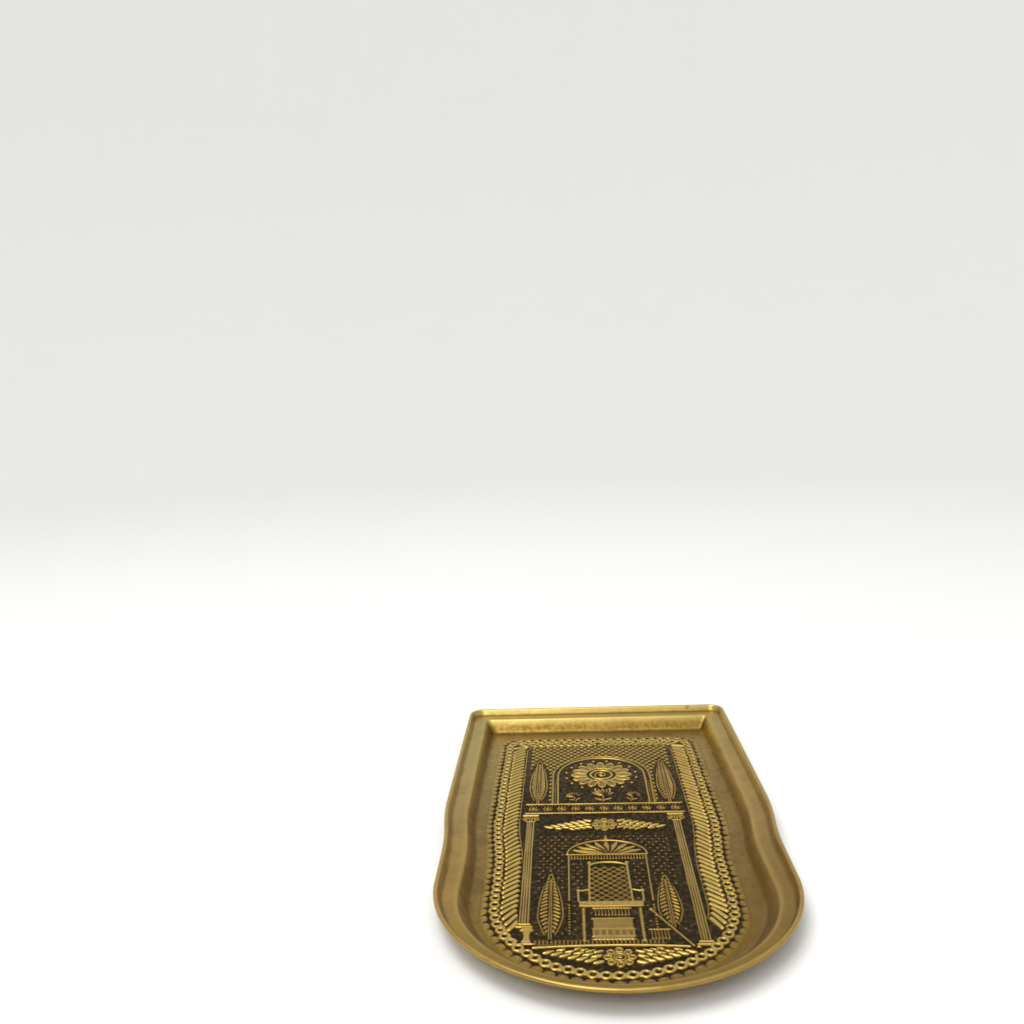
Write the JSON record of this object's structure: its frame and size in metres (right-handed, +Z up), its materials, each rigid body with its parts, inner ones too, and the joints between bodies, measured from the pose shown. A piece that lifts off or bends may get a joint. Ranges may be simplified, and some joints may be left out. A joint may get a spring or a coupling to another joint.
{
  "type": "embossed brass samovar tray",
  "caption": "Shallow embossed brass tray with a straight back, a rounded front, a flat ledge and a curled, wired lip round a sunken patterned floor.",
  "frame": {"origin": "middle of the tray's length and width, on the surface that it stands on", "axes": "+Z up out of the well, +Y towards the straight back edge, -Y towards the round front, +X to the right seen from the front"},
  "size_m": [0.243, 0.444, 0.0172],
  "materials": {
    "antique_brass": "satin antique brass, brushed and lacquered, with a dark patina left in the recesses of the relief",
    "brass_wire": "drawn brass wire, dull"
  },
  "bodies": {
    "root": {"pan": "antique_brass", "rim_wire": "brass_wire"}
  },
  "joints": []
}
